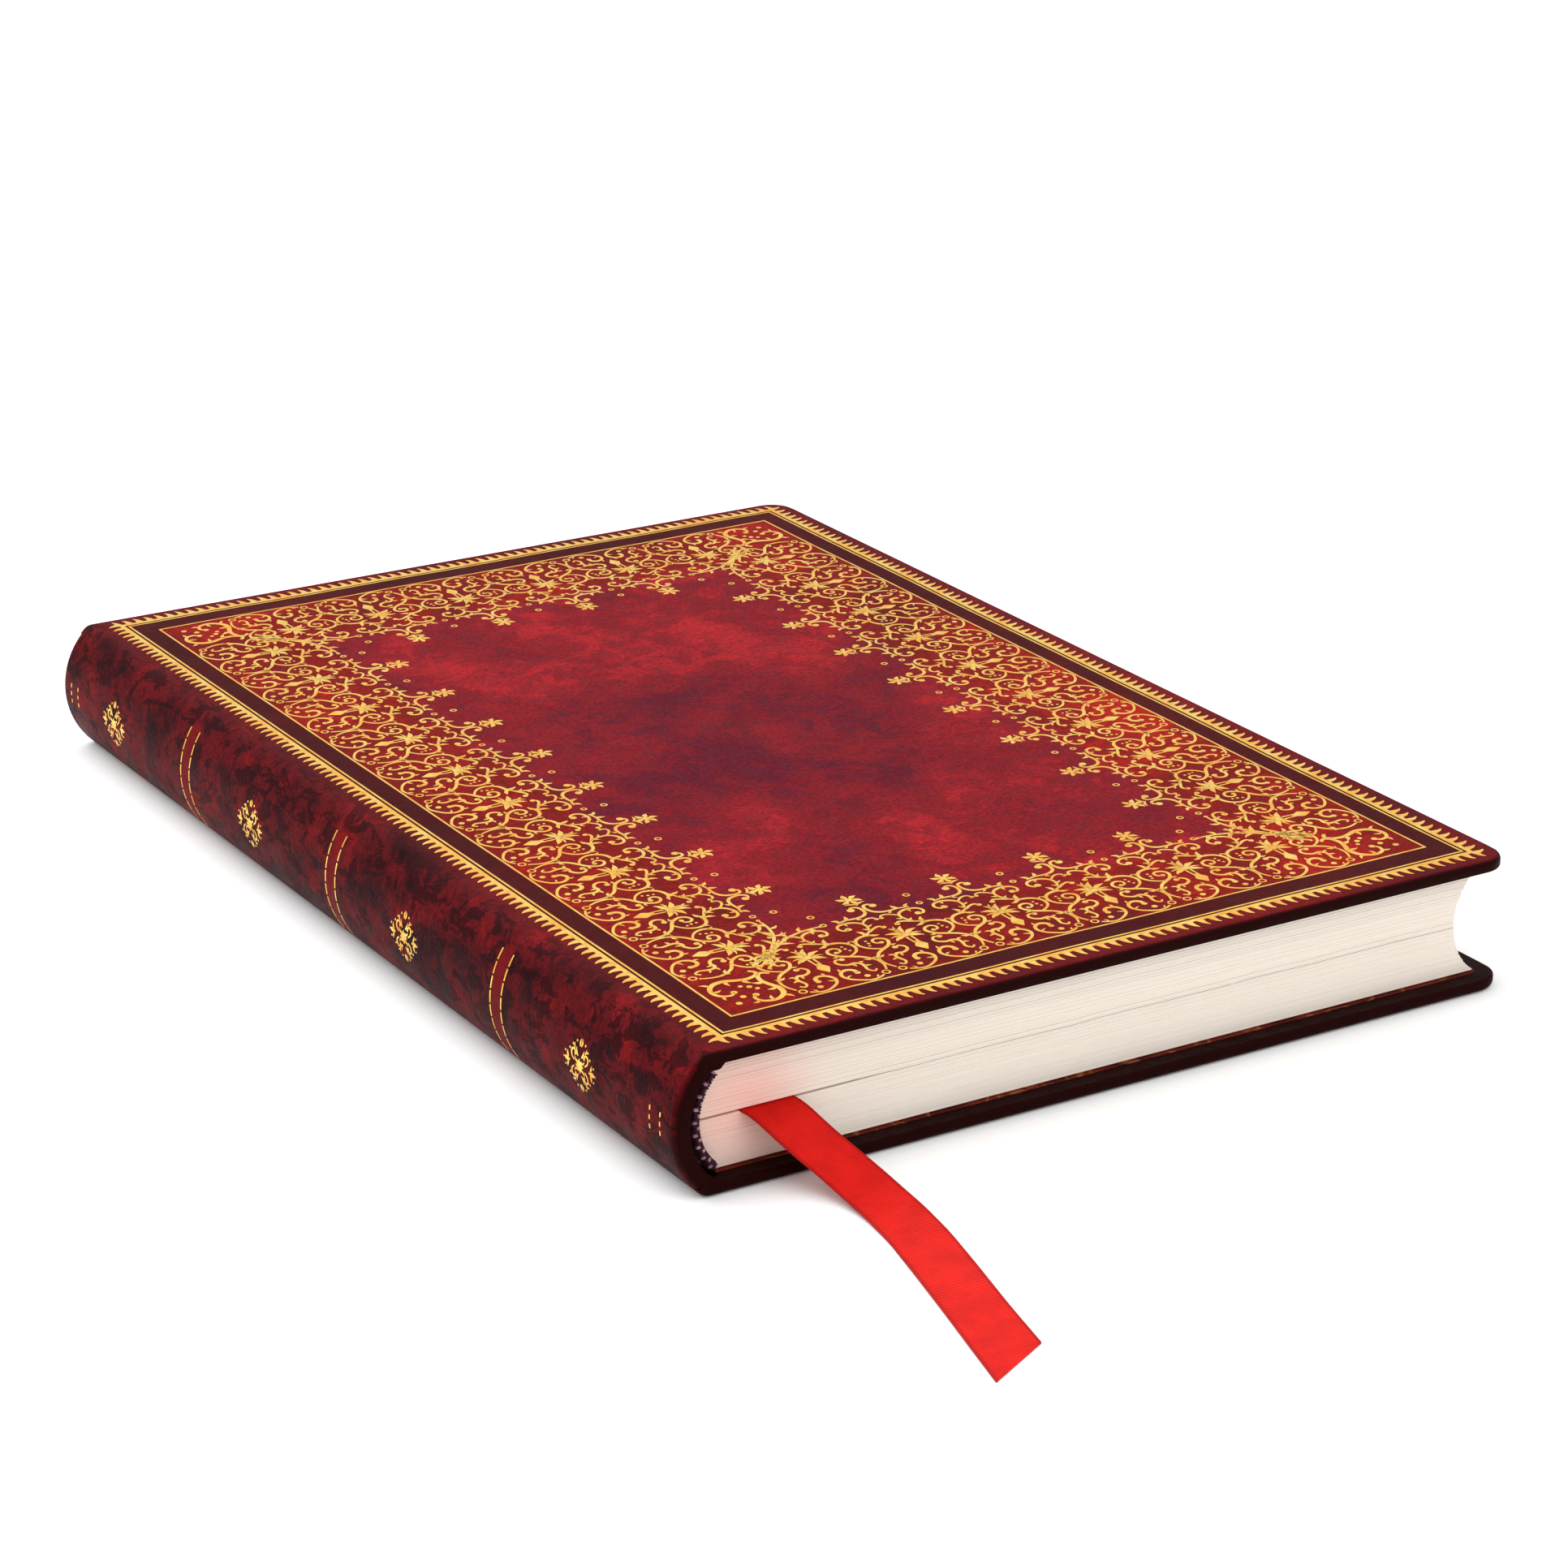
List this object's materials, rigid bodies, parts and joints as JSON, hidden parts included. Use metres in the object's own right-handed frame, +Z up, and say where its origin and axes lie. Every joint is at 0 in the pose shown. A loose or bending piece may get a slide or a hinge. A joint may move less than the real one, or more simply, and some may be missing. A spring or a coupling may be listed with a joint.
{
  "type": "prayer book",
  "caption": "Small hardback prayer book in mottled leather with gold-tooled borders, a rounded spine, sewn leaves and a ribbon marker.",
  "frame": {"origin": "middle of the closed book's underside, on the surface it lies on", "axes": "+X from the spine to the fore-edge, +Y from the tail to the head, +Z up through the front cover"},
  "size_m": [0.124, 0.2342, 0.0184],
  "materials": {
    "leather": "satin, mottled calf with gold tooling",
    "board": "matt pasteboard",
    "card": "matt card",
    "endpaper": "matt coloured paper",
    "leaves": "matt book paper",
    "thread": "matt linen",
    "mull": "open-weave cotton",
    "lining_paper": "matt kraft paper",
    "band_silk": "satin silk, two colours",
    "ribbon": "satin ribbon"
  },
  "bodies": {
    "back_cover": {"back_cover_leather": "leather", "back_board": "board", "back_infill": "card", "back_pastedown": "endpaper"},
    "text_block": {"signature_01": "leaves", "signature_02": "leaves", "signature_03": "leaves", "signature_04": "leaves", "signature_05": "leaves", "signature_06": "leaves", "signature_07": "leaves", "sewing_thread_lower": "thread", "back_flyleaf": "endpaper", "mull": "mull", "spine_lining": "lining_paper", "spine_stiffener": "board", "spine_leather": "leather", "head_band": "band_silk", "tail_band": "band_silk", "ribbon_marker": "ribbon"},
    "upper_leaves": {"signature_08": "leaves", "signature_09": "leaves", "signature_10": "leaves", "signature_11": "leaves", "signature_12": "leaves", "signature_13": "leaves", "signature_14": "leaves", "signature_15": "leaves", "sewing_thread_upper": "thread"},
    "front_flyleaf": {"front_flyleaf": "endpaper"},
    "front_cover": {"front_cover_leather": "leather", "front_board": "board", "front_infill": "card", "front_pastedown": "endpaper"}
  },
  "joints": [
    {"name": "block_hinge", "type": "hinge", "parent": "back_cover", "child": "text_block", "pos_m": [-0.05779, 0, 0.0004], "axis": [0, 1, 0], "range_deg": [-60, 0]},
    {"name": "leaf_hinge", "type": "hinge", "parent": "text_block", "child": "upper_leaves", "pos_m": [-0.0591, 0, 0.00873], "axis": [0, 1, 0], "range_deg": [-120, 0], "deforming": ["spine_leather", "spine_stiffener", "spine_lining", "mull", "head_band", "tail_band"]},
    {"name": "flyleaf_hinge", "type": "hinge", "parent": "upper_leaves", "child": "front_flyleaf", "pos_m": [-0.05555, 0, 0.01643], "axis": [0, -1, 0], "range_deg": [0, 30]},
    {"name": "front_cover_hinge", "type": "hinge", "parent": "upper_leaves", "child": "front_cover", "pos_m": [-0.05779, 0, 0.01842], "axis": [0, -1, 0], "range_deg": [0, 180]}
  ],
  "couplings": [
    {"joint": "flyleaf_hinge", "follows": "front_cover_hinge", "ratio": 0.16}
  ]
}
